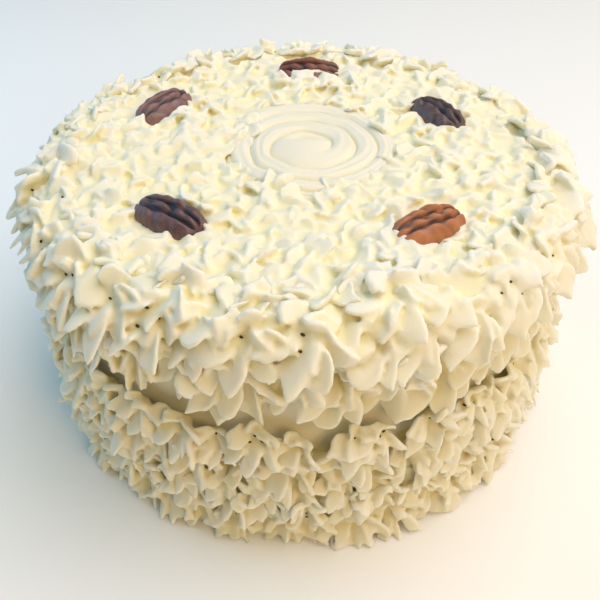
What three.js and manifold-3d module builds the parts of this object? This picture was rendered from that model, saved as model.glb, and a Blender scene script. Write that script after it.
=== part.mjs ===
// Italian cream cake: an iced drum covered with piped flowers, a piped rosette in the middle
// of its top and five pecan halves in a ring round the rosette.
// Millimetres, +Z up. The origin is the middle of the flat foot.

import * as THREE from "three";
import { mergeVertices } from "three/addons/utils/BufferGeometryUtils.js";
import Module from "manifold-3d";

// Smooth icing over the sponge, and the depth that piping fills between the flowers on it
const DRUM_R = 107;
const DRUM_H = 109;
const PILE = 4;
const PILE_EDGE = 5;
const DRUM_SIDES = 30;
const EDGE_STEPS = 2;

// The smooth band round the waist, between the flowers below it and above it
const WAIST = { foot: 62, head: 80, slope: 4 };

// Clearance between pieces that touch
const GAP = 0.3;

// One piped flower, in shares of its own radius: petals that run from a pit out to raised tips,
// clefts between them, and a root sunk in the drum
const FLOWER_R = 12.2;
const PETALS = 5;
const FLOWER = { pit: 0.52, tip: 1, cleftReach: 0.74, cleft: 0.66, root: 0 };

// Rosette: one rope of icing coiled from the middle out, in a shallow recess of the drum. Its tail
// ends at an angle from +X, and its inner end rises to an eye at an angle from the tail.
const ROSETTE = { x: 2.5, y: 3, tail: 150, eye: 200, startR: 2.5, pitch: 12, turns: 3.5, recess: 0.6 };
const ROSETTE_SIDES = 30;

// The rope's section, with ribs along the rope
const ROPE = { height: 8.5, groove: 4.5, ridge: 0.7, lift: 2.5 };
const ROPE_RIBS = 6;

// Rows of flowers from the rosette outwards and down. Reach is the foot's distance from the axis,
// level its height, and rise the angle of the flower's axis above the horizon.
const ROWS = [
  { reach: 52, level: DRUM_H, rise: 90, count: 15 },
  { reach: 71, level: DRUM_H, rise: 88, count: 20 },
  { reach: 90, level: DRUM_H, rise: 82, count: 26 },
  { reach: DRUM_R + 2, level: DRUM_H + 1, rise: 52, count: 30 },
  { reach: DRUM_R, level: 93, rise: 6, count: 30 },
  { reach: DRUM_R, level: 56, rise: 8, count: 30 },
  { reach: DRUM_R, level: 33, rise: 4, count: 30 },
  { reach: DRUM_R, level: 10, rise: 4, count: 30 },
];

// How far flowers stray: shares of their spacing and radius, millimetres across the row, degrees
const JITTER = { along: 0.16, slide: 1.6, radius: 0.12, rise: 8, swing: 9 };
const RANDOM = { seed: 20117, factor: 48271, modulus: 2147483647 };

// Pecan half: base is the share of its height below the widest level, groove the dip beside the
// middle ridge, and ridge and shoulder are shares of its half width
const PECAN = { length: 30, width: 17, height: 11, base: 0.3, groove: 0.26, ridge: 0.22, shoulder: 0.55 };
const PECAN_STATIONS = 8;

// Pecan halves lie dome up along a ring round the rosette, their middles at one level
const PECAN_LEVEL = 119;
const PECANS = [
  { name: "pecan_back", azimuth: 87, ring: 73, swing: -2, roll: -20 },
  { name: "pecan_back_left", azimuth: 150, ring: 72, swing: -4, roll: -6 },
  { name: "pecan_front_left", azimuth: 227, ring: 72, swing: 7, roll: 8 },
  { name: "pecan_front_right", azimuth: 308, ring: 75, swing: -5, roll: 8 },
  { name: "pecan_back_right", azimuth: 25, ring: 68, swing: 4, roll: 4 },
];

// The nest under each, larger than the pecan half, and the nearest that a flower's foot comes to one
const NEST_SCALE = 1.06;
const NEST_CLEAR = 11;

const ICING = { color: 0xf3ead2, roughness: 0.5, metalness: 0 };
const NUT = { color: 0x74412c, roughness: 0.45, metalness: 0 };

// Points nearer than this are one
const WELD = 0.001;

const wasm = await Module();
wasm.setup();
const { degToRad } = THREE.MathUtils;

// Repeatable numbers from 0 to 1
function seeded() {
  let state = RANDOM.seed;
  return () => {
    state = (state * RANDOM.factor) % RANDOM.modulus;
    return state / RANDOM.modulus;
  };
}

function geometryFrom(points, triangles) {
  const geometry = new THREE.BufferGeometry();
  geometry.setAttribute("position", new THREE.Float32BufferAttribute(points.flat(), 3));
  geometry.setIndex(triangles.flat());
  return geometry;
}

function solidOf(geometry) {
  const bare = geometry.clone();
  bare.deleteAttribute("normal");
  bare.deleteAttribute("uv");
  const merged = mergeVertices(bare, WELD);
  return new wasm.Manifold(
    new wasm.Mesh({
      numProp: 3,
      vertProperties: merged.attributes.position.array,
      triVerts: new Uint32Array(merged.index.array),
    }),
  );
}

function geometryOf(solid) {
  const mesh = solid.getMesh();
  const geometry = new THREE.BufferGeometry();
  geometry.setAttribute("position", new THREE.BufferAttribute(mesh.vertProperties, 3));
  geometry.setIndex(new THREE.BufferAttribute(mesh.triVerts, 1));
  return geometry;
}

const joined = (solids) => solids.reduce((whole, solid) => whole.add(solid));

// The outer body alone: hollows that the joining seals are filled and loose scraps dropped
const largestBody = (solid) => solid.decompose().reduce((a, b) => (b.volume() > a.volume() ? b : a));

// A slab whose top face lies at a level
function slabBelow(level) {
  const side = 4 * DRUM_R;
  const slab = new THREE.BoxGeometry(side, side, DRUM_H);
  slab.translate(0, 0, level - DRUM_H / 2);
  return solidOf(slab);
}

// The drum, filled out where flowers lie on it. It reaches below the foot, where it is cut flat.
function drum() {
  const [outR, outH] = [DRUM_R + PILE, DRUM_H + PILE];
  const profile = new THREE.Path();
  profile.moveTo(0, -PILE);
  profile.lineTo(outR, -PILE);
  profile.lineTo(outR, WAIST.foot - WAIST.slope);
  profile.lineTo(DRUM_R, WAIST.foot);
  profile.lineTo(DRUM_R, WAIST.head);
  profile.lineTo(outR, WAIST.head + WAIST.slope);
  profile.lineTo(outR, outH - PILE_EDGE);
  profile.absarc(outR - PILE_EDGE, outH - PILE_EDGE, PILE_EDGE, 0, Math.PI / 2);
  profile.lineTo(0, outH);
  const lathe = new THREE.LatheGeometry(profile.getPoints(EDGE_STEPS), DRUM_SIDES);
  lathe.rotateX(Math.PI / 2);
  return solidOf(lathe);
}

// A flower of unit radius on the XY plane, facing +Z
function flower() {
  const at = (turn, reach, height) => {
    const angle = (turn * 2 * Math.PI) / PETALS;
    return [reach * Math.cos(angle), reach * Math.sin(angle), height];
  };
  const points = [
    [0, 0, FLOWER.pit],
    [0, 0, FLOWER.root],
  ];
  const [pit, root] = [0, 1];
  const triangles = [];
  for (let i = 0; i < PETALS; i++) {
    points.push(at(i, 1, FLOWER.tip), at(i + 0.5, FLOWER.cleftReach, FLOWER.cleft));
    const tip = 2 + 2 * i;
    const cleft = tip + 1;
    const cleftBefore = i > 0 ? tip - 1 : 1 + 2 * PETALS;
    triangles.push([pit, cleftBefore, tip], [pit, tip, cleft]);
    triangles.push([root, tip, cleftBefore], [root, cleft, tip]);
  }
  return geometryFrom(points, triangles);
}

// Where the flowers sit: each one's foot, and the matrix that stands a unit flower there
function flowerPlaces() {
  const draw = seeded();
  const spread = (amount) => amount * (2 * draw() - 1);
  return ROWS.flatMap((row, r) =>
    Array.from({ length: row.count }, (_, i) => {
      const step = (2 * Math.PI) / row.count;
      const azimuth = step * (i + (r % 2) / 2 + spread(JITTER.along));
      const slide = spread(JITTER.slide);
      const radius = FLOWER_R * (1 + spread(JITTER.radius));
      const rise = degToRad(row.rise + spread(JITTER.rise));
      const facing = azimuth + degToRad(spread(JITTER.swing));
      const spin = draw() * 2 * Math.PI;
      const onTop = row.reach < DRUM_R;
      const reach = row.reach + (onTop ? slide : 0);
      const level = row.level + (onTop ? 0 : slide);
      const foot = new THREE.Vector3(reach * Math.cos(azimuth), reach * Math.sin(azimuth), level);
      const along = new THREE.Vector3(-Math.sin(facing), Math.cos(facing), 0);
      const flat = Math.cos(rise);
      const normal = new THREE.Vector3(flat * Math.cos(facing), flat * Math.sin(facing), Math.sin(rise));
      const matrix = new THREE.Matrix4().makeBasis(along, normal.clone().cross(along), normal);
      matrix.multiply(new THREE.Matrix4().makeRotationZ(spin));
      matrix.scale(new THREE.Vector3(radius, radius, radius)).setPosition(foot);
      return { foot, matrix, onTop };
    }),
  );
}

// Height of the rope above its foot on a rib, counted from the rope's inner edge
function ropeHeight(rib) {
  const arch = Math.sqrt(Math.sin((rib * Math.PI) / ROPE_RIBS));
  return ROPE.groove + (ROPE.height - ROPE.groove) * arch - (rib % 2) * ROPE.ridge;
}

// The coil as one closed relief. Ribs wind outwards, so a rib's end at a full turn is the start of
// the same rib one turn further out. The last turn falls to the foot at its outer edge and its tail.
function rosette() {
  const { eye, startR, pitch, turns } = ROSETTE;
  const lines = Math.round((turns - 1) * ROPE_RIBS);
  const outerR = startR + pitch * turns;
  const points = [];
  const place = (reach, angle, height) =>
    points.push([reach * Math.cos(angle), reach * Math.sin(angle), height]) - 1;
  const rib = (side, line) => {
    const reach = startR + pitch * (line / ROPE_RIBS + side / ROSETTE_SIDES);
    const rim = line === lines || side === ROSETTE_SIDES;
    const lift = ROPE.lift * (1 - reach / outerR) ** 2;
    const height = rim ? 0 : ropeHeight(line % ROPE_RIBS) + lift;
    return place(reach, (2 * Math.PI * side) / ROSETTE_SIDES, height);
  };
  const body = Array.from({ length: lines + 1 }, (_, line) =>
    Array.from({ length: ROSETTE_SIDES }, (_, side) => rib(side, line)),
  );
  const tail = Array.from({ length: ROPE_RIBS }, (_, i) => rib(ROSETTE_SIDES, lines - ROPE_RIBS + 1 + i));
  const at = (side, line) => {
    if (side < ROSETTE_SIDES) return body[line][side];
    const next = line + ROPE_RIBS;
    return next <= lines ? body[next][0] : tail[next - lines - 1];
  };
  const triangles = [];
  for (let line = 0; line < lines; line++) {
    for (let side = 0; side < ROSETTE_SIDES; side++) {
      const [a, b] = [at(side, line), at(side + 1, line)];
      const [c, d] = [at(side + 1, line + 1), at(side, line + 1)];
      triangles.push([a, d, c], [a, c, b]);
    }
  }
  const fan = (apex, edge) =>
    edge.forEach((point, i) => triangles.push([apex, point, edge[(i + 1) % edge.length]]));
  const peak = place(startR, degToRad(eye), ropeHeight(ROPE_RIBS / 2) + ROPE.lift);
  const inside = Array.from({ length: ROSETTE_SIDES }, (_, side) => at(side, 0));
  const start = Array.from({ length: ROPE_RIBS }, (_, i) => at(0, ROPE_RIBS - i));
  fan(peak, [...inside, ...start]);
  const foot = place(pitch, -Math.PI / 2, 0);
  const outside = Array.from({ length: ROSETTE_SIDES }, (_, side) => at(side, lines));
  fan(foot, [...tail, ...outside.reverse()]);
  return geometryFrom(points, triangles);
}

// Room for the rosette in the flowers round it: its spiral outline with clearance
function rosetteRoom() {
  const { x, y, tail, startR, pitch, turns, recess } = ROSETTE;
  const innerReach = startR + pitch * (turns - 1) + GAP;
  const outline = Array.from({ length: ROSETTE_SIDES + 1 }, (_, side) => {
    const angle = (2 * Math.PI * side) / ROSETTE_SIDES;
    const reach = innerReach + (pitch * side) / ROSETTE_SIDES;
    return new THREE.Vector2(reach * Math.cos(angle), reach * Math.sin(angle));
  });
  const room = new THREE.ExtrudeGeometry(new THREE.Shape(outline), { depth: DRUM_H, bevelEnabled: false });
  room.rotateZ(degToRad(tail) + GAP / innerReach);
  room.translate(x, y, DRUM_H - recess);
  return solidOf(room);
}

// Half a pecan along X, dome up, its origin at mid height. Two grooves part a ridge from two lobes.
function pecan() {
  const { length, width, height, base, groove, ridge, shoulder } = PECAN;
  const crown = (1 - base) * height;
  const across = [-1, -shoulder - ridge, -shoulder, -ridge, 0, ridge, shoulder, shoulder + ridge, 1];
  const points = [];
  for (let k = 1; k < PECAN_STATIONS; k++) {
    const turn = (k * Math.PI) / PECAN_STATIONS;
    const x = (-Math.cos(turn) * length) / 2;
    const fullness = Math.sqrt(Math.sin(turn));
    for (const share of across) {
      const dip = Math.abs(share) === ridge ? groove : 0;
      const dome = crown * fullness * Math.sqrt(1 - share * share) * (1 - dip);
      points.push([x, (share * fullness * width) / 2, dome - height / 2 + base * height]);
    }
    for (const share of [shoulder, -shoulder]) {
      points.push([x, (share * fullness * width) / 2, (base * (1 - fullness) - 0.5) * height]);
    }
  }
  const around = across.length + 2;
  const rings = PECAN_STATIONS - 1;
  const level = (base - 0.5) * height;
  const stem = points.push([-length / 2, 0, level]) - 1;
  const tail = points.push([length / 2, 0, level]) - 1;
  const last = (rings - 1) * around;
  const triangles = [];
  for (let j = 0; j < around; j++) {
    const next = (j + 1) % around;
    for (let k = 0; k < rings - 1; k++) {
      const [a, b] = [k * around + j, k * around + next];
      triangles.push([a, a + around, b], [b, a + around, b + around]);
    }
    triangles.push([stem, j, next], [tail, last + next, last + j]);
  }
  return geometryFrom(points, triangles);
}

// The seat of one pecan half on the ring
function pecanSeat({ azimuth, ring, swing, roll }) {
  const angle = degToRad(azimuth);
  const seat = new THREE.Group();
  seat.position.set(ring * Math.cos(angle), ring * Math.sin(angle), PECAN_LEVEL);
  seat.rotation.set(degToRad(roll), 0, angle + Math.PI / 2 + degToRad(swing), "ZYX");
  seat.updateMatrix();
  return seat;
}

// The drum with every flower fused to it, room for the rosette, a nest under each pecan half
// and a flat foot. A flower that a pecan half would cover is left out.
function icedCake(pecanGeometry) {
  const seats = PECANS.map(pecanSeat);
  const nests = seats.map((seat) => {
    const nest = pecanGeometry.clone().scale(NEST_SCALE, NEST_SCALE, NEST_SCALE);
    return solidOf(nest.applyMatrix4(seat.matrix));
  });
  const spaced = ({ foot }, { position }) =>
    Math.hypot(foot.x - position.x, foot.y - position.y) > NEST_CLEAR;
  const flowers = flowerPlaces()
    .filter((place) => !place.onTop || seats.every((seat) => spaced(place, seat)))
    .map(({ matrix }) => solidOf(flower().applyMatrix4(matrix)));
  const whole = joined([drum(), ...flowers])
    .subtract(rosetteRoom())
    .subtract(joined(nests))
    .subtract(slabBelow(0));
  return geometryOf(largestBody(whole));
}

function named(name, geometry, finish) {
  const mesh = new THREE.Mesh(geometry, new THREE.MeshStandardMaterial(finish));
  mesh.name = name;
  return mesh;
}

const cake = new THREE.Group();
const pecanGeometry = pecan();
cake.add(named("iced_cake", icedCake(pecanGeometry), ICING));

const swirl = named("rosette", rosette(), ICING);
swirl.position.set(ROSETTE.x, ROSETTE.y, DRUM_H - ROSETTE.recess + GAP);
swirl.rotation.z = degToRad(ROSETTE.tail);
cake.add(swirl);

for (const place of PECANS) {
  const seat = pecanSeat(place);
  seat.add(named(place.name, pecanGeometry, NUT));
  cake.add(seat);
}

export default cake;
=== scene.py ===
"""Italian cream cake: soft piped flowers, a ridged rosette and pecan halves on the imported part."""

import math

import bpy
import numpy as np
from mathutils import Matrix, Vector
from mathutils.kdtree import KDTree


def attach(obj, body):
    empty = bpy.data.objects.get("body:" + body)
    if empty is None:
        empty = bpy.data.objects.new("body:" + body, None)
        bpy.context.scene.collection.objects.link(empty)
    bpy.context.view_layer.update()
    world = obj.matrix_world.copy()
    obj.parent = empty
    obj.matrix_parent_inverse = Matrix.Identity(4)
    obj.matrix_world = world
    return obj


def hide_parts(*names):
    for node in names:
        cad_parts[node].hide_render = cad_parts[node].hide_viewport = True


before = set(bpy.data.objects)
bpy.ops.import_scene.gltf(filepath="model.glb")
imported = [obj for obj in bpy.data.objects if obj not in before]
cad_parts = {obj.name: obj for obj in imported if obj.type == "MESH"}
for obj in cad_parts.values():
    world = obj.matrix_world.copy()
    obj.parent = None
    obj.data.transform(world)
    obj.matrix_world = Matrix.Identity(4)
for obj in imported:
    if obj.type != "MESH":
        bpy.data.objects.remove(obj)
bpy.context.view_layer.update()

MM = 0.001
TURN = 2 * math.pi

# The part's own sizes, in millimetres and degrees, and the radius of the drum's rounded edge
DRUM_R = 107.0
DRUM_H = 109.0
DRUM_EDGE = 6.0
ROSETTE = {"x": 2.5, "y": 3.0, "tail": 150, "start": 2.5, "pitch": 12.0, "turns": 2.5, "recess": 0.6}
PECAN = {"length": 30.0, "width": 17.0, "height": 11.0, "base": 0.3}
PECAN_LEVEL = 119.0
PECANS = [
    {"name": "pecan_back", "azimuth": 87, "ring": 73, "swing": -2, "roll": -20},
    {"name": "pecan_back_left", "azimuth": 150, "ring": 72, "swing": -4, "roll": -6},
    {"name": "pecan_front_left", "azimuth": 227, "ring": 72, "swing": 7, "roll": 8},
    {"name": "pecan_front_right", "azimuth": 308, "ring": 75, "swing": -5, "roll": 8},
    {"name": "pecan_back_right", "azimuth": 25, "ring": 68, "swing": 4, "roll": 4},
]
# Petals keep off each pecan half's middle: the share of it that stays bare, how far that is moved away from the
# viewer, and how far above or below the half it still counts
PECAN_BARE = [(0.58, 6.0), (0.8, 0.4), (0.76, 0.8), (0.64, 1.2), (0.6, 1.6)]
PECAN_NEAR = 16.0

# Icing that fills the ground between the flowers: closed profiles of reach and level, anticlockwise
BEDS = {
    "top_flowers": [
        (28, 105), (100, 105), (100, 116.6), (50, 116.6), (43, 116.6), (37, 115.8), (32, 114.5), (28, 110),
    ],
    "rim_flowers": [
        (90, 105), (103, 105), (103, 96), (111, 96), (112, 105), (110.5, 110.5), (105, 115.5), (90, 116.2),
    ],
    "skirt_flowers": [(103, 86), (105, 86), (107.5, 93), (108, 98), (109, 106), (103, 106)],
    "border_flowers": [(103, 32), (110, 32), (110, 50), (105, 59), (103, 59)],
    "foot_flowers": [(103, 0.3), (110, 0.3), (110, 36), (103, 36)],
}
BED_SIDES = 160

# Flowers strewn over the top: how many, candidates for each, share of the disc left free in the middle, clearance
# from the rosette, outermost reach, level of the feet, flower radius, and the facing's rise and most tilt in degrees
STREWN = {
    "count": 115, "tries": 60, "middle": 0.12, "inner": 1.5, "outer": 96.0, "level": 114.6, "radius": 12.3,
    "rise": 88, "tilt": 14,
}
# Clearance that their feet keep from the middles of the pecan halves
NEST_CLEAR = 15.0
# Flowers nestling against the near sides and ends of the pecan halves: offsets from the seat and level of the foot,
# then their rise and radius
NESTLING = {
    "pecan_back": [(-9, -9, 118.5), (3, -9, 118.5), (14, -4, 117)],
    "pecan_back_left": [(-4, -12, 116), (7, -11, 116), (16, 4, 116)],
    "pecan_front_left": [(-10, -11, 114.5), (3, -13, 114.5)],
    "pecan_front_right": [(-13, -8, 116), (0, -12, 116), (14, -1, 116)],
    "pecan_back_right": [(-4, -12, 116), (9, -11, 116), (-10, 9, 116)],
}
NESTLE = {"rise": 84, "radius": 10.5}

# Rows of flowers by piece: reach, level, rise of the facing above level, count, flower radius, kind, share with
# painted pit shadows
ROWS = {
    "rim_flowers": [
        (101.5, 114.3, 66, 40, 13.0, "rim", 0.2),
        (109.5, 109.5, 38, 38, 13.8, "rim", 1.0),
    ],
    "skirt_flowers": [
        (107.5, 96, 4, 38, 15.2, "skirt", 0.1),
    ],
    "border_flowers": [
        (110, 61, 14, 44, 12.0, "border", 0.9),
        (110, 49, 8, 44, 11.5, "border", 0.2),
        (110, 37, 4, 44, 11.3, "border", 0.2),
    ],
    "foot_flowers": [
        (110, 26, 2, 44, 11.3, "border", 0.3),
        (110, 13, 0, 44, 12.0, "fringe", 0.4),
    ],
}
# How far flowers stray: along the row in shares of their spacing, up or down, in radius as a share, and in degrees
JITTER = {"along": 0.25, "slide": 2.4, "radius": 0.14, "rise": 10, "swing": 12}

# A flower's two rings of petals: which of its kind's counts, then length, width and lift as shares of its kind's, and
# how far the ring is turned in shares of a petal
RINGS = [
    {"count": "petals", "length": 1.0, "half": 1.0, "lift": 1.0, "spin": 0.0},
    {"count": "inner", "length": 0.6, "half": 0.8, "lift": 1.25, "spin": 0.5},
]
# Share of the rings that lack a petal
LACKING = 0.4

# Petals by kind, in shares of the flower's radius. Roll, in radians, laps them like a pinwheel's, a lower point gives
# more of them full round ends, droop bends them down, hang lengthens the ones that point down, which also lifts them
# less, and gather turns more of them that way
KINDS = {
    "top": {"petals": 6, "inner": 4, "length": 1.05, "half": 0.40, "lift": 0.28, "thick": 0.21, "roll": 0.42,
            "cup": 0.2, "point": 0.7, "droop": 0.0, "hang": 0.0, "gather": 0.0},
    "rim": {"petals": 6, "inner": 3, "length": 1.08, "half": 0.42, "lift": 0.46, "thick": 0.21, "roll": 0.5,
            "cup": 0.25, "point": 0.5, "droop": 0.24, "hang": 0.18, "gather": 0.3},
    "skirt": {"petals": 7, "inner": 3, "length": 1.08, "half": 0.39, "lift": 0.50, "thick": 0.20, "roll": 0.5,
              "cup": 0.3, "point": 0.25, "droop": 0.30, "hang": 0.22, "gather": 0.35},
    "border": {"petals": 6, "inner": 3, "length": 1.05, "half": 0.32, "lift": 0.54, "thick": 0.22, "roll": 0.5,
               "cup": 0.3, "point": 0.35, "droop": 0.22, "hang": 0.2, "gather": 0.2},
    "fringe": {"petals": 7, "inner": 3, "length": 1.1, "half": 0.26, "lift": 0.54, "thick": 0.21, "roll": 0.5,
               "cup": 0.3, "point": 0.5, "droop": 0.32, "hang": 0.25, "gather": 0.45},
}
HANG_LIFT = 0.5
# How far single petals stray from their kind
STRAY = {
    "angle": 0.14, "length": 0.12, "half": 0.05, "lift": 0.05, "cup": 0.2, "roll": 0.1, "twist": 0.22, "bend": 0.1,
    "thick": 0.05, "curl": 0.08,
}
# Tips: how blunt at least and by chance, how ragged at most and the power that makes that rare, and counts of points
TIPS = {"blunt": 0.35, "blunter": 0.2, "ragged": 0.18, "rare": 1.5, "points": [2, 2, 3, 4]}

# Petal mesh: stations along it and points round its section
ALONG = np.array([0, 0.1, 0.22, 0.34, 0.46, 0.58, 0.7, 0.81, 0.9, 0.96, 1.0])[:, None]
STATIONS = len(ALONG)
AROUND = 12
# A petal's form: reach and height of its root, and of its knee in shares of its length and lift, the powers of its
# section across and through, the forms of round and pointed ends, and how width, thickness and cup change along it
FORM = {
    "root": (0.04, -0.12), "knee": (0.5, 0.62), "section": (0.85, 0.75), "round": 0.98, "pointed": 1.4,
    "narrow": 0.3, "widens": 0.7, "grown": 0.65, "tapers": 0.15, "taper_from": 0.7, "taper_over": 0.3,
    "thins": 0.3, "closes": 0.7, "close_from": 0.88, "close_over": 0.12, "rolls": 2.5, "cup_zero": 0.35, "cups": 1.6,
}

# Pits, dark plugs that paint the shadow in holes between petals: rings and sides of the mesh and the angle left open
# at its ends, width and depth as shares, least size and what chance adds, least gap, most at one heart, how far above
# it and round it in shares of the flower's radius they are looked for, and how nearly they face the flower's way
PIT = {
    "rings": 4, "sides": 7, "open": 0.35, "wide": 0.6, "deep": 0.5, "size": 0.75, "more": 0.45, "gap": 2.8, "most": 3,
    "above": 0.3, "round": 0.42, "facing": 0.35,
}
# A direction that no pit faces exactly
ASIDE = [0.3, 0.2, 0.9]

# Fusing: grain of the skin, rounds of softening by piece and the share of each, smallest shell kept in cubic
# millimetres, most triangles, rounds of averaging for creases and hollows, which take painted shade, and the levels
# between which the shaded copy of the cream on the sides gives way to the lit copy on the top
VOXEL = 0.8
SOFTNESS = {"top_flowers": 2, "rim_flowers": 1, "skirt_flowers": 1, "border_flowers": 1, "foot_flowers": 1}
SOFTEN = 0.4
LEAST_SHELL = 20
MOST_TRIANGLES = 160000
NEAR_ROUNDS = 5
FAR_ROUNDS = 36
UPPER = (104.0, 117.0)

SEED = 4107
rng = np.random.default_rng(SEED)


def spread(amount):
    return amount * (2 * rng.random() - 1)


class Build:
    """Collects points, faces and point values of one piece, in millimetres."""

    def __init__(self):
        self.points = []
        self.faces = []
        self.values = {}
        self.count = 0

    def add(self, points, faces, **values):
        points = np.asarray(points, float).reshape(-1, 3)
        for face in faces:
            self.faces.append(np.asarray(face, np.int64) + self.count)
        self.points.append(points)
        for key, value in values.items():
            value = np.broadcast_to(np.asarray(value, float), (len(points),))
            self.values.setdefault(key, []).append(value)
        self.count += len(points)

    def faces_of(self, corners):
        faces = [f for f in self.faces if f.shape[1] == corners]
        return np.concatenate(faces or [np.zeros((0, corners), np.int64)])

    def piece(self, name, material):
        points = np.concatenate(self.points) * MM
        quads, tris = self.faces_of(4), self.faces_of(3)
        loops = np.concatenate([quads.ravel(), tris.ravel()])
        sizes = np.concatenate([np.full(len(quads), 4), np.full(len(tris), 3)])
        starts = np.concatenate([[0], np.cumsum(sizes)[:-1]])
        mesh = bpy.data.meshes.new(name)
        mesh.vertices.add(len(points))
        mesh.vertices.foreach_set("co", points.astype(np.float32).ravel())
        mesh.loops.add(len(loops))
        mesh.loops.foreach_set("vertex_index", loops.astype(np.int32))
        mesh.polygons.add(len(sizes))
        mesh.polygons.foreach_set("loop_start", starts.astype(np.int32))
        mesh.polygons.foreach_set("use_smooth", np.ones(len(sizes), bool))
        for key, value in self.values.items():
            attribute = mesh.attributes.new(key, "FLOAT", "POINT")
            attribute.data.foreach_set("value", np.concatenate(value).astype(np.float32))
        mesh.update(calc_edges=True)
        mesh.validate()
        mesh.materials.append(material)
        return placed(name, mesh)


def placed(name, data):
    """A new object in the scene."""
    obj = bpy.data.objects.new(name, data)
    bpy.context.scene.collection.objects.link(obj)
    return obj


def grid_faces(rows, columns):
    """Quads of a grid of points whose columns close on themselves."""
    r, c = np.meshgrid(np.arange(rows - 1), np.arange(columns), indexing="ij")
    n = (c + 1) % columns
    corners = [r * columns + c, r * columns + n, (r + 1) * columns + n, (r + 1) * columns + c]
    return np.stack(corners, -1).reshape(-1, 4)


def tube_faces(rows, columns):
    """Faces of a closed tube whose rings turn right-handed along it: its wall, and fans to a point at each end."""
    k = np.arange(columns)
    n = (k + 1) % columns
    total = rows * columns
    head = np.stack([n, k, np.full(columns, total)], 1)
    tail = np.stack([total - columns + k, total - columns + n, np.full(columns, total + 1)], 1)
    return [grid_faces(rows, columns), head, tail]


def tube_points(grid):
    """Points of a closed tube, with the middles of its first and last rings added."""
    flat = grid.reshape(-1, 3)
    return np.concatenate([flat, [grid[0].mean(0), grid[-1].mean(0)]])


def circle(sides):
    """Angles of evenly spaced points round a circle."""
    return np.linspace(0, TURN, sides, endpoint=False)


# Waves of a slow drift: how many, their lengths and how far each pushes
DRIFT = {"seed": 77, "waves": 10, "lengths": (13, 34), "push": 0.42}
drift_rng = np.random.default_rng(DRIFT["seed"])
WAVES = drift_rng.normal(size=(DRIFT["waves"], 3))
WAVES *= (TURN / drift_rng.uniform(*DRIFT["lengths"], DRIFT["waves"]) / np.linalg.norm(WAVES, axis=1))[:, None]
PHASES = drift_rng.uniform(0, TURN, DRIFT["waves"])
PUSHES = drift_rng.normal(size=(DRIFT["waves"], 3)) * DRIFT["push"]


def wander(points):
    """Moves points by a smooth drift of a millimetre or so, as an uneven hand leaves."""
    drift = np.zeros_like(points)
    for wave, phase, push in zip(WAVES, PHASES, PUSHES):
        drift += np.sin(points @ wave + phase)[:, None] * push
    return points + drift


def settle(points, floor=3.0):
    """Presses what would sink through the ground flat against it, from a little above it."""
    low = points[:, 2] < floor
    points[low, 2] = floor * np.exp((points[low, 2] - floor) / floor)
    return points


def height_over_drum(points):
    """Distance out from the smooth iced drum, whose edge is a little rounded."""
    reach = np.hypot(points[:, 0], points[:, 1]) - (DRUM_R - DRUM_EDGE)
    level = points[:, 2] - (DRUM_H - DRUM_EDGE)
    outside = np.hypot(np.maximum(reach, 0), np.maximum(level, 0))
    return outside + np.minimum(np.maximum(reach, level), 0) - DRUM_EDGE


# Fusing

def averages(points, edges, rounds=1):
    """Each point's mean of its neighbours, taken over and over."""
    a, b = edges[:, 0], edges[:, 1]
    count = np.bincount(a, minlength=len(points)) + np.bincount(b, minlength=len(points))
    for _ in range(rounds):
        out = np.empty_like(points)
        for axis in range(3):
            values = points[:, axis]
            total = np.bincount(a, values[b], len(points)) + np.bincount(b, values[a], len(points))
            out[:, axis] = total / np.maximum(count, 1)
        points = out
    return points


def outer_shells(points, faces, edges):
    """Mask of the points of shells that enclose more than the least volume, so neither voids nor scraps."""
    label = np.arange(len(points))
    a, b = edges[:, 0], edges[:, 1]
    while True:
        low = np.minimum(label[a], label[b])
        new = label.copy()
        np.minimum.at(new, a, low)
        np.minimum.at(new, b, low)
        new = new[new]
        if np.array_equal(new, label):
            break
        label = new
    p = points[faces]
    normals = np.cross(p[:, 1], p[:, 2]) + np.cross(p[:, 2], p[:, 3])
    volume = np.einsum("ij,ij->i", p[:, 0], normals) / 6
    total = np.bincount(label[faces[:, 0]], volume, len(points))
    return total[label] > LEAST_SHELL


def ring_solid(profile):
    """Points and faces of the solid that a closed profile of reach and level sweeps round the axis."""
    profile = np.array(profile, float)
    angle = circle(BED_SIDES)
    rows = len(profile)
    level = np.broadcast_to(profile[:, 1:], (rows, BED_SIDES))
    pts = np.stack([profile[:, :1] * np.cos(angle), profile[:, :1] * np.sin(angle), level], -1)
    r, k = np.meshgrid(np.arange(rows), np.arange(BED_SIDES), indexing="ij")
    n, m = (k + 1) % BED_SIDES, (r + 1) % rows
    faces = np.stack([r * BED_SIDES + k, r * BED_SIDES + n, m * BED_SIDES + n, m * BED_SIDES + k], -1)
    return pts.reshape(-1, 3), [faces.reshape(-1, 4)]


def modified(rough, kind, **settings):
    """The mesh that a modifier makes of an object, which is then removed."""
    modifier = rough.modifiers.new("change", kind)
    for key, value in settings.items():
        setattr(modifier, key, value)
    mesh = bpy.data.meshes.new_from_object(rough.evaluated_get(bpy.context.evaluated_depsgraph_get()))
    bpy.data.objects.remove(rough)
    return mesh


def read(items, key, columns, kind):
    """Values of a mesh's items, as rows."""
    values = np.empty(len(items) * columns, kind)
    items.foreach_get(key, values)
    return values.reshape(-1, columns)


def point_normals(points, faces):
    """Unit normals at the points of a mesh of quads."""
    corner = points[faces]
    face_normals = np.cross(corner[:, 2] - corner[:, 0], corner[:, 3] - corner[:, 1])
    normals = np.zeros_like(points)
    for k in range(4):
        for axis in range(3):
            normals[:, axis] += np.bincount(faces[:, k], face_normals[:, axis], len(points))
    return normals / np.maximum(np.linalg.norm(normals, axis=1), 1e-9)[:, None]


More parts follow.
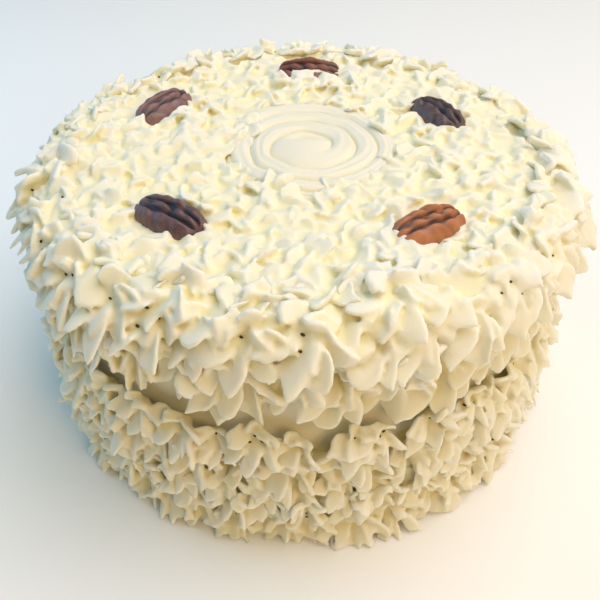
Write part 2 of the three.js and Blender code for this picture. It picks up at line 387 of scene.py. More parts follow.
def fuse(build, name, material):
    """Fuses a build into soft closed shells, gives their points the values that paint light and shade on them, and
    thins their mesh.
    """
    rough = build.piece("rough_" + name, material)
    shell = modified(rough, "REMESH", mode="VOXEL", voxel_size=VOXEL * MM)
    points = read(shell.vertices, "co", 3, np.float32).astype(float) / MM
    edges = read(shell.edges, "vertices", 2, np.int32)
    faces = read(shell.loops, "vertex_index", 1, np.int32).reshape(-1, 4)
    keep = outer_shells(points, faces, edges)
    index = np.cumsum(keep) - 1
    points = points[keep]
    edges = index[edges[keep[edges[:, 0]]]]
    faces = index[faces[keep[faces[:, 0]]]]
    for _ in range(SOFTNESS[name]):
        points += SOFTEN * (averages(points, edges) - points)
    points[:, 2] = np.maximum(points[:, 2], 0)
    normals = point_normals(points, faces)
    near = averages(points, edges, NEAR_ROUNDS)
    far = averages(near, edges, FAR_ROUNDS)
    # How deep each point lies in a crease and in a hollow, and how far out and how high it stands: these paint shade
    # and glow
    crease = ((near - points) * normals).sum(1)
    hollow = ((far - points) * normals).sum(1)
    upper = np.clip((points[:, 2] - UPPER[0]) / (UPPER[1] - UPPER[0]), 0, 1)
    fine = Build()
    fine.add(points, [faces], crease=crease, hollow=hollow, height=height_over_drum(points), upper=upper)
    share = min(1, MOST_TRIANGLES / (2 * len(faces)))
    mesh = modified(fine.piece("fine_" + name, material), "DECIMATE", ratio=share)
    mesh.name = name
    mesh.shade_smooth()
    return placed(name, mesh)


# Petals and flowers

def bend_through(s, root, knee, tip):
    """A curve with three control values, and its slope."""
    value = (1 - s) ** 2 * root + 2 * s * (1 - s) * knee + s**2 * tip
    return value, 2 * (1 - s) * (knee - root) + 2 * s * (tip - knee)


def late(u, start, over):
    """Grows from 0 to 1 over a last part of the petal."""
    return np.clip((u - start) / over, 0, 1) ** 2


def petal(length, half, lift, cup, roll, twist, bend, thick, blunt, full, points, ragged, curl):
    """A petal of a unit flower along +X: a thick scale that rises slowly from the heart to its ragged tip. Gives its
    points and how far along it they are."""
    u = ALONG
    phi = circle(AROUND)[None, :]
    v = np.sign(np.cos(phi)) * np.abs(np.cos(phi)) ** FORM["section"][0]
    side = np.sign(np.sin(phi)) * np.abs(np.sin(phi)) ** FORM["section"][1]
    end = full * (1 - np.sqrt(1 - FORM["round"] * v**2)) + (1 - full) * np.abs(v) ** FORM["pointed"]
    tips = 1 - blunt * end + 0.5 * ragged * (np.cos(points * math.pi * v) - 1)
    s = u * (1 + (tips - 1) * u**2)
    reach, d_reach = bend_through(s, FORM["root"][0], FORM["knee"][0] * length, length)
    height, d_height = bend_through(s, FORM["root"][1], FORM["knee"][1] * lift, lift + curl)
    norm = np.hypot(d_reach, d_height)
    n_reach, n_height = -d_height / norm, d_reach / norm
    grow = np.clip(u / FORM["grown"], 0, 1)
    taper = 1 - FORM["tapers"] * late(u, FORM["taper_from"], FORM["taper_over"])
    width = half * (FORM["narrow"] + FORM["widens"] * grow * grow * (3 - 2 * grow)) * taper
    closing = np.sqrt(1 - FORM["closes"] * late(u, FORM["close_from"], FORM["close_over"]))
    plump = thick * (1 - FORM["thins"] * u) * closing
    turn = roll * np.clip(FORM["rolls"] * u, 0, 1) + twist * u**2
    across = v * width
    out = cup * width * (v**2 - FORM["cup_zero"]) * np.clip(u * FORM["cups"], 0, 1) + 0.5 * plump * side
    y = across * np.cos(turn) - out * np.sin(turn) + bend * u**2
    off = across * np.sin(turn) + out * np.cos(turn)
    pts = np.stack(np.broadcast_arrays(reach + n_reach * off, y, height + n_height * off), -1)
    return pts, np.broadcast_to(u, (STATIONS, AROUND))


PETAL_FACES = tube_faces(STATIONS, AROUND)
PIT_FACES = tube_faces(PIT["rings"], PIT["sides"])


def shadow_plug(size):
    """A small flat dark plug that paints the shadow where petals leave a hole between them."""
    turn = np.linspace(PIT["open"], math.pi - PIT["open"], PIT["rings"])[:, None]
    psi = circle(PIT["sides"])[None, :]
    x, y = np.sin(turn) * np.cos(psi), PIT["wide"] * np.sin(turn) * np.sin(psi)
    grid = np.stack(np.broadcast_arrays(x, y, -PIT["deep"] * np.cos(turn)), -1)
    return tube_points(grid) * size


def rotate_z(points, angle):
    c, s = math.cos(angle), math.sin(angle)
    return points @ np.array([[c, s, 0], [-s, c, 0], [0, 0, 1]])


def flower_frame(facing, rise):
    """Axes of a flower, as columns: along the row, up the petals' plane and the way that it faces."""
    along = np.array([-math.sin(facing), math.cos(facing), 0])
    flat = math.cos(rise)
    normal = np.array([flat * math.cos(facing), flat * math.sin(facing), math.sin(rise)])
    return np.stack([along, np.cross(normal, along), normal], 1)


def pecan_seat(p):
    """Where a pecan half sits, and how it is turned."""
    azimuth = math.radians(p["azimuth"])
    roll = math.radians(p["roll"])
    yaw = azimuth + math.pi / 2 + math.radians(p["swing"])
    rx = np.array([[1, 0, 0], [0, math.cos(roll), -math.sin(roll)], [0, math.sin(roll), math.cos(roll)]])
    rz = np.array([[math.cos(yaw), -math.sin(yaw), 0], [math.sin(yaw), math.cos(yaw), 0], [0, 0, 1]])
    seat = np.array([p["ring"] * math.cos(azimuth), p["ring"] * math.sin(azimuth), PECAN_LEVEL])
    return seat, rz @ rx


SEATS = {p["name"]: pecan_seat(p) for p in PECANS}


def on_pecan(points):
    """Whether any point lies over the bare middle of a pecan half."""
    for (seat, turn), (share, away) in zip(SEATS.values(), PECAN_BARE):
        local = (points - seat - np.array([0, away, 0])) @ turn
        x, y = local[:, 0] / (PECAN["length"] / 2), local[:, 1] / (PECAN["width"] / 2)
        if ((np.hypot(x, y) < share) & (np.abs(local[:, 2]) < PECAN_NEAR)).any():
            return True
    return False


def add_flower(build, foot, basis, radius, kind, pit_shadows, wanted):
    """One flower of two rings of uneven petals; those of the sides sag, the ones pointing down longest. Adds to the
    wanted painted pit shadows the place above its heart, its facing, how far round to look, and how many."""
    form = KINDS[kind]
    spin = rng.random() * TURN
    for ring in RINGS:
        count = form[ring["count"]] - (rng.random() < LACKING)
        for i in range(count):
            angle = spin + TURN * (i + ring["spin"] + spread(STRAY["angle"])) / count
            angle -= form["gather"] * math.sin(angle + math.pi / 2)
            hang = -form["hang"] * math.sin(angle)
            grid, u = petal(
                length=ring["length"] * form["length"] * (1 + hang) + spread(STRAY["length"]),
                half=ring["half"] * form["half"] + spread(STRAY["half"]),
                lift=ring["lift"] * form["lift"] * (1 - HANG_LIFT * hang) + spread(STRAY["lift"]),
                cup=form["cup"] + spread(STRAY["cup"]),
                roll=form["roll"] + spread(STRAY["roll"]),
                twist=spread(STRAY["twist"]),
                bend=spread(STRAY["bend"]),
                thick=form["thick"] + spread(STRAY["thick"]),
                blunt=TIPS["blunt"] + TIPS["blunter"] * rng.random(),
                full=rng.random() ** form["point"],
                points=rng.choice(TIPS["points"]),
                ragged=TIPS["ragged"] * rng.random() ** TIPS["rare"],
                curl=spread(STRAY["curl"]),
            )
            pts = (rotate_z(tube_points(grid), angle) * radius) @ basis.T + foot
            u = np.concatenate([u.ravel(), [0, 1]])
            pts[:, 2] -= form["droop"] * radius * u**2
            pts = settle(wander(pts))
            if not on_pecan(pts):
                build.add(pts, PETAL_FACES)
    if rng.random() < pit_shadows:
        heart = wander((basis[:, 2] * PIT["above"] * radius + foot)[None])[0]
        wanted.append((heart, basis[:, 2], PIT["round"] * radius, rng.integers(1, PIT["most"] + 1)))


# Materials

def nodes_of(name):
    material = bpy.data.materials.new(name)
    material.use_nodes = True
    tree = material.node_tree
    return material, tree, tree.nodes["Principled BSDF"]


def set_inputs(node, values):
    for key, value in values.items():
        node.inputs[key].default_value = value


def attribute(tree, name):
    node = tree.nodes.new("ShaderNodeAttribute")
    node.attribute_type = "GEOMETRY"
    node.attribute_name = name
    return node.outputs["Fac"]


def mix(tree, fac, a, b):
    """One colour mixed into another; each of the three is a socket or a constant."""
    node = tree.nodes.new("ShaderNodeMix")
    node.data_type = "RGBA"
    for index, value in ((0, fac), (6, a), (7, b)):
        if isinstance(value, bpy.types.NodeSocket):
            tree.links.new(value, node.inputs[index])
        else:
            node.inputs[index].default_value = value
    return node.outputs[2]


def remap(tree, value, low, high, to_low, to_high):
    node = tree.nodes.new("ShaderNodeMapRange")
    set_inputs(node, {"From Min": low, "From Max": high, "To Min": to_low, "To Max": to_high})
    tree.links.new(value, node.inputs["Value"])
    return node.outputs["Result"]


def noise(tree, scale, detail, rough=0.5):
    coordinates = tree.nodes.new("ShaderNodeTexCoord")
    node = tree.nodes.new("ShaderNodeTexNoise")
    set_inputs(node, {"Scale": scale, "Detail": detail, "Roughness": rough})
    tree.links.new(coordinates.outputs["Object"], node.inputs["Vector"])
    return node.outputs["Fac"]


def bump(tree, shader, heights, strength, distance):
    node = tree.nodes.new("ShaderNodeBump")
    set_inputs(node, {"Strength": strength, "Distance": distance})
    tree.links.new(heights, node.inputs["Height"])
    tree.links.new(node.outputs["Normal"], shader.inputs["Normal"])


# Lit and shaded copies of the cream, with painted light and shade: the shaded one for the sides, the lit one for the
# top. For each, the heights over the drum that its root and tip colours belong to, and colours; roots, hollows and
# creases are painted as shade, darker and olive on the sides, and as warm yellow bounce light on the top
SHADED_SIDE_TONE = {
    "heights": (3.0, 13.0), "root": (0.75, 0.65, 0.34, 1), "tip": (0.83, 0.785, 0.63, 1),
    "hollow": (0.66, 0.55, 0.21, 1), "crease": (0.56, 0.46, 0.15, 1),
}
LIT_TOP_TONE = {
    "heights": (7.5, 14.0), "root": (0.89, 0.845, 0.60, 1), "tip": (0.885, 0.865, 0.79, 1),
    "hollow": (0.90, 0.845, 0.47, 1), "crease": (0.87, 0.80, 0.38, 1),
}
# Painted glow: thin convex petal edges are painted paler, as light shines through them
EDGE_GLOW_TONE = (0.90, 0.88, 0.79, 1)
PATCH_TONE = (0.79, 0.77, 0.69, 1)
# Ranges of point values and noises, and what they become
ICING_RANGES = {
    "hollow": (0.2, 2.2, 0.0, 0.75), "crease": (0.08, 0.5, 0.0, 0.6), "edge": (-0.45, -0.05, 0.6, 0.0),
    "patch": (0.35, 0.7, 0.0, 0.3), "rough": (0.3, 0.7, 0.42, 0.58),
}
# Noises by scale, detail and roughness, and the grain's strength and depth
ICING_NOISES = {"patch": (60, 3), "rough": (180, 2), "grain": (700, 3, 0.6)}
ICING_GRAIN = (0.12, 0.0006)
ICING_SOFT = {
    "Specular IOR Level": 0.3, "Subsurface Weight": 0.6, "Subsurface Radius": (1.0, 0.85, 0.55),
    "Subsurface Scale": 0.0025,
}


def icing_material():
    """Cream with painted light and shade: a shaded copy on the sides and a lit one on top, painted shade that makes it
    yellower towards the roots of the petals and in the hollows between them, and a painted glow that makes it paler at
    thin edges.
    """
    material, tree, shader = nodes_of("buttercream")
    upper = attribute(tree, "upper")
    # Painted shade: hollows, creases and the petals' roots are painted yellower, and on the sides darker
    hollow = remap(tree, attribute(tree, "hollow"), *ICING_RANGES["hollow"])
    crease = remap(tree, attribute(tree, "crease"), *ICING_RANGES["crease"])
    creams = []
    # The shaded copy of the cream for the sides and the lit copy for the top, blended by level below
    for tone in (SHADED_SIDE_TONE, LIT_TOP_TONE):
        height = remap(tree, attribute(tree, "height"), *tone["heights"], 0.0, 1.0)
        cream = mix(tree, height, tone["root"], tone["tip"])
        cream = mix(tree, hollow, cream, tone["hollow"])
        creams.append(mix(tree, crease, cream, tone["crease"]))
    cream = mix(tree, upper, *creams)
    # Painted glow of light through thin convex edges
    edges = remap(tree, attribute(tree, "crease"), *ICING_RANGES["edge"])
    cream = mix(tree, edges, cream, EDGE_GLOW_TONE)
    patches = remap(tree, noise(tree, *ICING_NOISES["patch"]), *ICING_RANGES["patch"])
    cream = mix(tree, patches, cream, PATCH_TONE)
    tree.links.new(cream, shader.inputs["Base Color"])
    rough = remap(tree, noise(tree, *ICING_NOISES["rough"]), *ICING_RANGES["rough"])
    tree.links.new(rough, shader.inputs["Roughness"])
    set_inputs(shader, ICING_SOFT)
    bump(tree, shader, noise(tree, *ICING_NOISES["grain"]), *ICING_GRAIN)
    return material


# Skins of the pecan halves: main colour, groove colour that paints shade in grooves, seam and wrinkle hollows, and
# streak colour, then noises, ranges, grain and gloss
NUT_TONES = {
    "pecan_back": ((0.17, 0.055, 0.04, 1), (0.045, 0.015, 0.012, 1), (0.25, 0.10, 0.08, 1)),
    "pecan_back_left": ((0.16, 0.075, 0.07, 1), (0.03, 0.015, 0.02, 1), (0.26, 0.14, 0.14, 1)),
    "pecan_front_left": ((0.075, 0.04, 0.045, 1), (0.02, 0.012, 0.016, 1), (0.16, 0.08, 0.085, 1)),
    "pecan_front_right": ((0.34, 0.10, 0.03, 1), (0.06, 0.018, 0.01, 1), (0.46, 0.17, 0.07, 1)),
    "pecan_back_right": ((0.06, 0.032, 0.03, 1), (0.016, 0.010, 0.012, 1), (0.13, 0.08, 0.08, 1)),
}
NUT_NOISES = {"wrinkle": (260, 4, 0.6), "grain": (900, 4, 0.65)}
NUT_RANGES = {"streak": (0.3, 0.7, 0.0, 1.0), "groove": (0.1, 0.8, 0.0, 1.0), "rough": (0.3, 0.7, 0.34, 0.55)}
NUT_GRAIN = (0.3, 0.0005)
NUT_GLOSS = 0.45


def pecan_material(name, skin, dark, pale):
    """Streaked brown skin, with painted shade darkening its grooves, seam and wrinkle hollows."""
    material, tree, shader = nodes_of(name)
    wrinkle = noise(tree, *NUT_NOISES["wrinkle"])
    streaks = mix(tree, remap(tree, wrinkle, *NUT_RANGES["streak"]), skin, pale)
    groove = remap(tree, attribute(tree, "groove"), *NUT_RANGES["groove"])
    colour = mix(tree, groove, streaks, dark)
    tree.links.new(colour, shader.inputs["Base Color"])
    tree.links.new(remap(tree, wrinkle, *NUT_RANGES["rough"]), shader.inputs["Roughness"])
    shader.inputs["Specular IOR Level"].default_value = NUT_GLOSS
    bump(tree, shader, noise(tree, *NUT_NOISES["grain"]), *NUT_GRAIN)
    return material


def mottled_material(name, scale, detail, one, other, rough=0.8):
    """A dull surface of two close tones."""
    material, tree, shader = nodes_of(name)
    tree.links.new(mix(tree, noise(tree, scale, detail), one, other), shader.inputs["Base Color"])
    shader.inputs["Roughness"].default_value = rough
    return material


ICING = icing_material()


# Where the flowers sit

def rosette_edge(azimuth):
    """Reach of the rosette's outer edge from its own middle, in a direction."""
    turn = ((azimuth - math.radians(ROSETTE["tail"])) / TURN) % 1
    return ROSETTE["start"] + ROSETTE["pitch"] * (ROSETTE["turns"] + turn)


def free_on_top(x, y):
    """Whether a flower's foot keeps clear of the rosette and the pecan halves."""
    dx, dy = x - ROSETTE["x"], y - ROSETTE["y"]
    if math.hypot(dx, dy) < rosette_edge(math.atan2(dy, dx)) + STREWN["inner"]:
        return False
    return all(math.hypot(x - s[0], y - s[1]) > NEST_CLEAR for s, _ in SEATS.values())


def strewn_feet():
    """Feet spread evenly over the top: each is the candidate farthest from those before it."""
    feet = []
    while len(feet) < STREWN["count"]:
        best, best_gap = None, -1
        for _ in range(STREWN["tries"]):
            reach = STREWN["outer"] * math.sqrt(rng.uniform(STREWN["middle"], 1))
            azimuth = rng.uniform(0, TURN)
            x, y = reach * math.cos(azimuth), reach * math.sin(azimuth)
            if free_on_top(x, y):
                gap = min([math.hypot(x - a, y - b) for a, b in feet], default=math.inf)
                if gap > best_gap:
                    best, best_gap = (x, y), gap
        feet.append(best)
    return feet


def flower_piece(build, name):
    """The one skin of a build's flowers and the bed between them."""
    pts, faces = ring_solid(BEDS[name])
    build.add(settle(wander(pts)), faces)
    return fuse(build, name, ICING)


def uneven(radius):
    return radius * (1 + spread(JITTER["radius"]))


def top_piece():
    """The flowers strewn over the top and nestling against the pecan halves; none of them has painted pit shadows."""
    build = Build()
    for x, y in strewn_feet():
        facing = rng.random() * TURN
        basis = flower_frame(facing, math.radians(STREWN["rise"] - STREWN["tilt"] * rng.random()))
        radius = uneven(STREWN["radius"])
        add_flower(build, np.array([x, y, STREWN["level"]]), basis, radius, "top", 0, [])
    for name, places in NESTLING.items():
        seat, _ = SEATS[name]
        for dx, dy, level in places:
            basis = flower_frame(rng.random() * TURN, math.radians(NESTLE["rise"]))
            foot = np.array([seat[0] + dx, seat[1] + dy, level])
            add_flower(build, foot, basis, uneven(NESTLE["radius"]), "top", 0, [])
    return flower_piece(build, "top_flowers")


def sink_pit_shadows(piece, wanted, hole_shadows):
    """Sets dark plugs of painted shadow in the deepest hollows of the piece's surface near the hearts of its flowers.
    """
    vertices = piece.data.vertices
    hollow = read(piece.data.attributes["hollow"].data, "value", 1, np.float32).ravel()
    tree = KDTree(len(vertices))
    for vertex in vertices:
        tree.insert(vertex.co, vertex.index)
    tree.balance()
    for heart, facing, reach, pit_shadows in wanted:
        near = [i for _, i, _ in tree.find_range(Vector(heart * MM), reach * MM)]
        near = [i for i in near if np.dot(vertices[i].normal, facing) > PIT["facing"]]
        near.sort(key=lambda i: -hollow[i])
        chosen = []
        for i in near:
            place = np.array(vertices[i].co) / MM
            if all(np.linalg.norm(place - other) > PIT["gap"] for other in chosen):
                chosen.append(place)
                normal = np.array(vertices[i].normal)
                along = np.cross(normal, ASIDE)
                along /= np.linalg.norm(along)
                basis = np.stack([along, np.cross(normal, along), normal], 1)
                size = PIT["size"] + PIT["more"] * rng.random()
                hole_shadows.add(shadow_plug(size) @ basis.T + place, PIT_FACES)
            if len(chosen) == pit_shadows:
                break


def row_piece(name, rows, hole_shadows):
    """The flowers of neighbouring rows, every other row shifted by half a flower, and their painted pit shadows."""
    build = Build()
    wanted = []
    for r, (row_reach, row_level, row_rise, count, radius, kind, pit_shadows) in enumerate(rows):
        for i in range(count):
            azimuth = TURN / count * (i + (r % 2) / 2 + spread(JITTER["along"]))
            level = row_level + spread(JITTER["slide"])
            foot = np.array([row_reach * math.cos(azimuth), row_reach * math.sin(azimuth), level])
            facing = azimuth + math.radians(spread(JITTER["swing"]))
            basis = flower_frame(facing, math.radians(row_rise + spread(JITTER["rise"])))
            add_flower(build, foot, basis, uneven(radius), kind, pit_shadows, wanted)
    piece = flower_piece(build, name)
    sink_pit_shadows(piece, wanted, hole_shadows)
    return piece


# Dark tones of the pit plugs: painted shadow in the holes between petals
PIT_SHADOW_TONES = ((0.02, 0.018, 0.008, 1), (0.06, 0.05, 0.02, 1))
hole_shadows = Build()
shown = [top_piece()]
for row_name, row_list in ROWS.items():
    shown.append(row_piece(row_name, row_list, hole_shadows))
shown.append(hole_shadows.piece("pit_shadows", mottled_material("pit_shade", 400, 2, *PIT_SHADOW_TONES)))


# Drum

# Mesh of the drum: sides, heights on its wall, steps of its rounded edge, and rings of its top and underside
DRUM_SIDES = 180
DRUM_WALL = (2, 40)
DRUM_CORNER = np.linspace(1.4, 0, 6)
DRUM_UNDER = 60
DRUM_TOP = np.linspace(98, 50, 5)
DRUM_MIDDLE = [(20, DRUM_H - 1), (4, DRUM_H - 1)]
# Waves of its wall: size, how often round and phase, then ripples by size and length
DRUM_WAVES = [(0.5, 3, 1.1), (0.35, 7, 0.4)]
DRUM_RIPPLE = (0.25, 6)
# Point values that paint the drum with the shaded sides' cream, part way from root to tip
DRUM_VALUES = {"crease": 0.0, "hollow": 0.1, "height": 9.0, "upper": 0.0}


def drum_piece():
    """The iced drum: smooth, and a little uneven round its waist."""
    edge_r, edge_z = DRUM_R - DRUM_EDGE, DRUM_H - DRUM_EDGE
    profile = [(DRUM_UNDER, 0), (DRUM_R, 0)]
    profile += [(DRUM_R, z) for z in np.linspace(DRUM_WALL[0], edge_z, DRUM_WALL[1])]
    profile += [(edge_r + DRUM_EDGE * math.sin(t), edge_z + DRUM_EDGE * math.cos(t)) for t in DRUM_CORNER]
    profile += [(r, DRUM_H) for r in DRUM_TOP] + DRUM_MIDDLE
    profile = np.array(profile)
    angle = circle(DRUM_SIDES)
    r = profile[:, :1]
    z = np.broadcast_to(profile[:, 1:], (len(profile), DRUM_SIDES))
    sway = sum(size * np.sin(often * angle + phase) for size, often, phase in DRUM_WAVES)
    sway = sway + DRUM_RIPPLE[0] * np.sin(z / DRUM_RIPPLE[1] + 2 * np.sin(angle * 2))
    reach = r + (r > DRUM_R - 1) * sway
    pts = tube_points(np.stack([reach * np.cos(angle), reach * np.sin(angle), z], -1))
    build = Build()
    build.add(pts, tube_faces(len(profile), DRUM_SIDES), **DRUM_VALUES)
    return build.piece("iced_drum", ICING)


shown.append(drum_piece())


# Rosette

# The spiral crease between the rosette's strands: its reach at quarter turns, the first at azimuth 270 degrees, the
# step that it is drawn out by, and how many steps each way soften its corners
CREASE = [
    8.6, 10.4, 12.8, 15.7, 19.0, 21.4, 22.6, 24.2, 28.0, 30.2, 31.2, 32.6, 35.2, 37.3, 39.5, 42.0, 45.0, 48.0,
]
CREASE_STEP = 0.05
CREASE_SOFT = 12
# The coil: its mesh, rounds that soften its outline, height and what the middle adds, depth of the crease and the power
# of the strands' domes, fine ridges, quarter turns over which the crease begins, and how its rim falls to the foot
COIL = {
    "rings": 118, "sides": 300, "first": 0.004, "soft": 400, "top": 9.0, "centre": 1.6, "spread": 22, "deep": 2.8,
    "dome": 3.4, "ridges": 2.5, "ridge": 0.16, "weave": 0.15, "base": 0.3, "start": 1.2, "rim": 1.5, "falls": 14,
    "least": 0.2,
}
# The rope's inner end fills the middle as a tongue that stands this much higher, with a hollow behind it that takes
# painted shade
TONGUE = {"high": 0.8, "wide": 11}
HOLLOW = {"at": (-0.5, 5.2), "wide": 6.0, "near": 1.8, "far": 3.2, "deep": 4.8, "shade": 0.8}
# Its colour, painted shade in the crease and the hollow: how hollow a crease counts as, so how much painted shade it
# takes, and the same at the two middle points, then the other values, which lean to the top's lit cream
COIL_HOLLOW = {"most": 2.2, "power": 1.5, "middle": 0.5}
COIL_VALUES = {"crease": 0.0, "height": 12.0, "upper": 0.6}


def rosette_piece():
    """Coiled strands with fine ridges along them, separated by one spiral crease, and a tongue in the middle."""
    rings, sides = COIL["rings"], COIL["sides"]
    azimuth = circle(sides)[None, :]
    edge = np.array([rosette_edge(a) for a in azimuth[0]])[None, :]
    for _ in range(COIL["soft"]):
        edge = 0.5 * edge + 0.25 * (np.roll(edge, 1, 1) + np.roll(edge, -1, 1))
    edge = edge + COIL["rim"]
    share = np.linspace(COIL["first"], 1, rings)[:, None]
    reach = share * edge
    # Reach of the crease, by quarter turns to the last one
    quarters = np.arange(0, len(CREASE) - 0.99, CREASE_STEP)
    spiral = np.interp(quarters, np.arange(len(CREASE)), CREASE)
    window = np.ones(2 * CREASE_SOFT + 1) / (2 * CREASE_SOFT + 1)
    spiral = np.convolve(np.pad(spiral, CREASE_SOFT, mode="reflect", reflect_type="odd"), window, "valid")
    # How far across its strand each point lies, and below 0 inside the first turn of the crease
    first = ((azimuth / TURN * 4) - 3) % 4
    strand = np.full(reach.shape, -1.0)
    nearest = np.interp(first, quarters, spiral) + 0 * reach
    second = np.interp(first + 4, quarters, spiral) + 0 * reach
    for turn in range(4):
        low = np.interp(first + 4 * turn, quarters, spiral)
        high = np.interp(first + 4 * turn + 4, quarters, spiral)
        strand = np.where(reach >= low, (reach - low) / (high - low), strand)
    across = np.clip(strand, 0, 1)
    dome = np.sqrt(np.clip(1 - np.abs(2 * across - 1) ** COIL["dome"], 0, 1))
    weave = COIL["weave"] * np.sin(3 * azimuth + reach / 6)
    ridge = np.cos(TURN * (COIL["ridges"] * across + weave))
    # The crease begins gently out of the tongue
    lone = np.sqrt(np.clip(1 - (reach / second) ** 4, 0, 1))
    cut = np.where(strand < 0, np.sqrt(np.clip(1 - (reach / nearest) ** 4, 0, 1)), dome)
    begun = np.where(reach < second, np.clip(first / COIL["start"], 0, 1) + 0 * reach, 1)
    begun = begun * begun * (3 - 2 * begun)
    dome = np.where(reach < second, lone * (1 - begun) + cut * begun, dome)
    x, y = reach * np.cos(azimuth), reach * np.sin(azimuth)
    dx = (x - HOLLOW["at"][0]) / HOLLOW["wide"]
    dy = y - HOLLOW["at"][1]
    dip = np.exp(-(dx**2) - (dy / np.where(dy < 0, HOLLOW["near"], HOLLOW["far"])) ** 2)
    top = COIL["top"] + COIL["centre"] * np.exp(-((reach / COIL["spread"]) ** 2))
    z = top - COIL["deep"] * (1 - dome) + COIL["ridge"] * ridge * dome * begun * (strand >= 0)
    z = z + TONGUE["high"] * np.exp(-((reach / TONGUE["wide"]) ** 2)) - HOLLOW["deep"] * dip
    z = np.maximum(z * np.clip((1 - share) * COIL["falls"], 0, 1) ** 0.5, COIL["least"])
    surface = np.stack([x, y, z], -1)
    base = np.stack([x[-1:], y[-1:], np.zeros((1, sides))], -1)
    grid = np.concatenate([base, surface[::-1]])
    grid += np.array([ROSETTE["x"], ROSETTE["y"], DRUM_H - ROSETTE["recess"] + COIL["base"]])
    pts = tube_points(0.5 * (grid + wander(grid.reshape(-1, 3)).reshape(grid.shape)))
    # Painted shade: the crease between the strands, and the hollow behind the tongue, count as hollows and so darker
    crease = 1 - dome * (1 - HOLLOW["shade"] * dip)
    crease = np.concatenate([crease[-1:], crease[::-1]])
    hollow = COIL_HOLLOW["most"] * crease.ravel() ** COIL_HOLLOW["power"]
    hollow = np.concatenate([hollow, [COIL_HOLLOW["middle"]] * 2])
    build = Build()
    build.add(pts, tube_faces(rings + 1, sides), hollow=hollow, **COIL_VALUES)
    return build.piece("rosette_coil", ICING)


coil = rosette_piece()


# Pecan halves

# A pecan half: its mesh, the angle left open at its ends, sway of its middle, place and width of its grooves in shares
# of its own and how they fade at its ends, width of its seam, wrinkles by count, rates along and over it and size,
# ruffles of its outline by size and rate, powers of its dome and underside, how soon its wall counts as top, and how
# deep grooves, seam and wrinkles are and how dark painted shade makes them
NUT = {
    "stations": 64, "around": 72, "open": 0.02, "sway": 0.04, "sway_length": 4, "groove": 0.27, "groove_wide": 0.12,
    "fade": (1.7, 0.25), "seam_wide": 0.07, "wrinkles": 9, "along": (0.25, 1.1), "over": (2, 9), "size": (0.12, 0.3),
    "ruffles": [(0.02, 1.3), (0.015, 2.9)], "dome": 0.8, "under": 0.6, "steep": 3,
    "deep": {"groove": 0.42, "seam": 0.1, "wrinkle": 0.85},
    "dark": {"groove": 1.1, "seam": 0.4, "wrinkle": 0.55, "ends": 0.3},
    "phase": (0, 6), "seed": 50,
}


def pecan_grid(seed):
    """Half a pecan along X, dome up: two broad lobes, a middle ridge between two grooves, and rough wrinkles. Gives its
    points and how dark painted shade makes them."""
    local = np.random.default_rng(seed)
    turn = np.linspace(NUT["open"], math.pi - NUT["open"], NUT["stations"])[:, None]
    psi = circle(NUT["around"])[None, :]
    length, width, height, base = (PECAN[k] for k in ("length", "width", "height", "base"))
    deep, dark = NUT["deep"], NUT["dark"]
    fullness = np.sqrt(np.sin(turn))
    x = -np.cos(turn) * length / 2 + 0 * psi
    share = np.cos(psi)
    sway = NUT["sway"] * np.sin(x / NUT["sway_length"] + local.uniform(*NUT["phase"]))
    lobe = np.abs(share + sway)
    up = np.clip(np.sin(psi) * NUT["steep"], 0, 1)
    fade = np.clip(NUT["fade"][0] * fullness - NUT["fade"][1], 0, 1)
    groove = np.exp(-(((lobe - NUT["groove"]) / NUT["groove_wide"]) ** 2)) * up * fade
    seam = np.exp(-((lobe / NUT["seam_wide"]) ** 2)) * up
    wave = np.zeros_like(x)
    for _ in range(NUT["wrinkles"]):
        along, over = local.uniform(*NUT["along"]), local.uniform(*NUT["over"])
        size = local.uniform(*NUT["size"])
        wave += size * np.sin(x * along + share * over + local.uniform(*NUT["phase"]))
    ruffle = 1
    for size, rate in NUT["ruffles"]:
        ruffle = ruffle + size * np.sin(x * rate + local.uniform(*NUT["phase"]))
    y = share * fullness * ruffle * width / 2
    dome = (1 - base) * height * fullness * np.abs(np.sin(psi)) ** NUT["dome"]
    wrinkled = deep["wrinkle"] * wave * up * fullness * (1 - groove)
    top = dome * (1 - deep["groove"] * groove - deep["seam"] * seam) + wrinkled
    under = -base * height * fullness * np.abs(np.sin(psi)) ** NUT["under"]
    z = np.where(np.sin(psi) >= 0, top, under) - height / 2 + base * height
    # Painted shade: darker in the grooves and seam and in the wrinkles' troughs, lighter on their crests
    shade = np.clip(dark["groove"] * groove + dark["seam"] * seam - dark["wrinkle"] * wave * up, 0, 1)
    return np.stack([x, y, z], -1), shade


for index, p in enumerate(PECANS):
    seat, turn = SEATS[p["name"]]
    grid, shade = pecan_grid(NUT["seed"] + index)
    build = Build()
    # Its groove value is the painted shade of grooves, seam and wrinkles
    build.add(tube_points(grid) @ turn.T + seat, tube_faces(*shade.shape),
              groove=np.concatenate([shade.ravel(), [NUT["dark"]["ends"]] * 2]))
    skin = pecan_material("skin_" + p["name"], *NUT_TONES[p["name"]])
    nut = build.piece(p["name"].replace("pecan_", "pecan_half_"), skin)
    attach(nut, "root")
    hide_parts(p["name"])

for piece in shown:
    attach(piece, "root")
    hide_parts("iced_cake")
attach(coil, "root")
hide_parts("rosette")


# Stage, light and camera, in metres

FLOOR = {"size": 2.0, "level": -0.0004}
FLOOR_TONES = ((0.95, 0.945, 0.94, 1), (0.97, 0.965, 0.96, 1))
bpy.ops.mesh.primitive_plane_add(size=FLOOR["size"], location=(0, 0, FLOOR["level"]))
floor = bpy.context.object
floor.name = "floor"
floor.data.materials.append(mottled_material("pale_floor", 3, 2, *FLOOR_TONES))

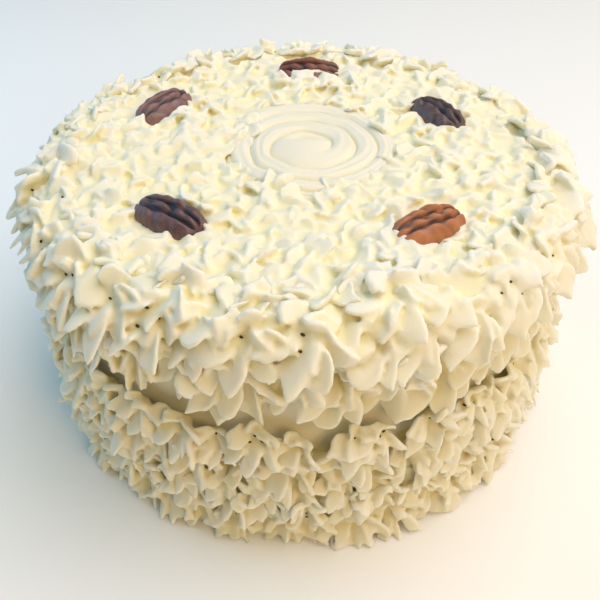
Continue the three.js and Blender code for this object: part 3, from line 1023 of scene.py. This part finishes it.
LIGHT_AIM = Vector((0, 0, 0.06))
LIGHTS = {
    "key": {"place": (0.5, 0.1, 1.15), "size": 1.4, "power": 14.0, "colour": (1.0, 0.91, 0.90)},
    "warm_front": {"place": (0.62, -1.1, 0.85), "size": 0.8, "power": 7.5, "colour": (1.0, 0.63, 0.26)},
    "cool_side": {"place": (-0.7, 0.25, 0.42), "size": 0.6, "power": 2.1, "colour": (0.22, 0.6, 1.0)},
}


def area_light(name, place, size, power, colour):
    """A round soft light that looks at the cake's middle."""
    data = bpy.data.lights.new(name, "AREA")
    data.shape = "DISK"
    data.size = size
    data.energy = power
    data.color = colour
    obj = placed(name, data)
    obj.location = place
    obj.rotation_euler = (LIGHT_AIM - Vector(place)).to_track_quat("-Z", "Y").to_euler()


for light_name, light in LIGHTS.items():
    area_light(light_name, **light)

# Light from all round: the direction from its cool to its warm side, ranges across and upwards, colours and strength,
# and the plain backdrop that shows behind the floor
AROUND_LIGHT = {
    "slant": (0.75, -0.65, 0.0), "across": (-0.6, 0.6, 0.0, 1.0), "upwards": (0.2, 1.0, 0.0, 1.0),
    "cool": (0.05, 0.10, 0.12, 1), "warm": (0.24, 0.24, 0.12, 1), "overhead": (0.37, 0.51, 0.49, 1),
    "strength": 0.6, "backdrop": (0.80, 0.82, 0.84, 1),
}


def studio_world():
    """Soft light from overhead, and less of it from all round, warm from the right and cool from the left. What shows
    of it is a plain pale backdrop."""
    world = bpy.data.worlds.new("studio")
    world.use_nodes = True
    tree = world.node_tree
    background = tree.nodes["Background"]
    coordinates = tree.nodes.new("ShaderNodeTexCoord")
    slant = tree.nodes.new("ShaderNodeVectorMath")
    slant.operation = "DOT_PRODUCT"
    slant.inputs[1].default_value = AROUND_LIGHT["slant"]
    tree.links.new(coordinates.outputs["Generated"], slant.inputs[0])
    across = remap(tree, slant.outputs["Value"], *AROUND_LIGHT["across"])
    parts = tree.nodes.new("ShaderNodeSeparateXYZ")
    tree.links.new(coordinates.outputs["Generated"], parts.inputs[0])
    upwards = remap(tree, parts.outputs["Z"], *AROUND_LIGHT["upwards"])
    tint = mix(tree, across, AROUND_LIGHT["cool"], AROUND_LIGHT["warm"])
    tint = mix(tree, upwards, tint, AROUND_LIGHT["overhead"])
    tree.links.new(tint, background.inputs["Color"])
    background.inputs["Strength"].default_value = AROUND_LIGHT["strength"]
    backdrop = tree.nodes.new("ShaderNodeBackground")
    backdrop.inputs["Color"].default_value = AROUND_LIGHT["backdrop"]
    either = tree.nodes.new("ShaderNodeMixShader")
    tree.links.new(tree.nodes.new("ShaderNodeLightPath").outputs["Is Camera Ray"], either.inputs[0])
    tree.links.new(background.outputs[0], either.inputs[1])
    tree.links.new(backdrop.outputs[0], either.inputs[2])
    tree.links.new(either.outputs[0], tree.nodes["World Output"].inputs["Surface"])
    return world


bpy.context.scene.world = studio_world()

# The photograph's camera: place, degrees that it looks down, focal length and picture width in pixels, sensor width
CAMERA = {"place": (-0.0006, -0.292, 0.282), "down": 40.4, "focal": 777, "picture": 600, "sensor": 36}
GAMMA = 1.12
camera_data = bpy.data.cameras.new("camera")
camera_data.sensor_width = CAMERA["sensor"]
camera_data.lens = CAMERA["sensor"] * CAMERA["focal"] / CAMERA["picture"]
camera_data.clip_start = 0.01
camera = placed("camera", camera_data)
camera.location = CAMERA["place"]
camera.rotation_euler = (math.radians(90 - CAMERA["down"]), 0, 0)
bpy.context.scene.camera = camera
bpy.context.scene.view_settings.view_transform = "Standard"
bpy.context.scene.view_settings.gamma = GAMMA
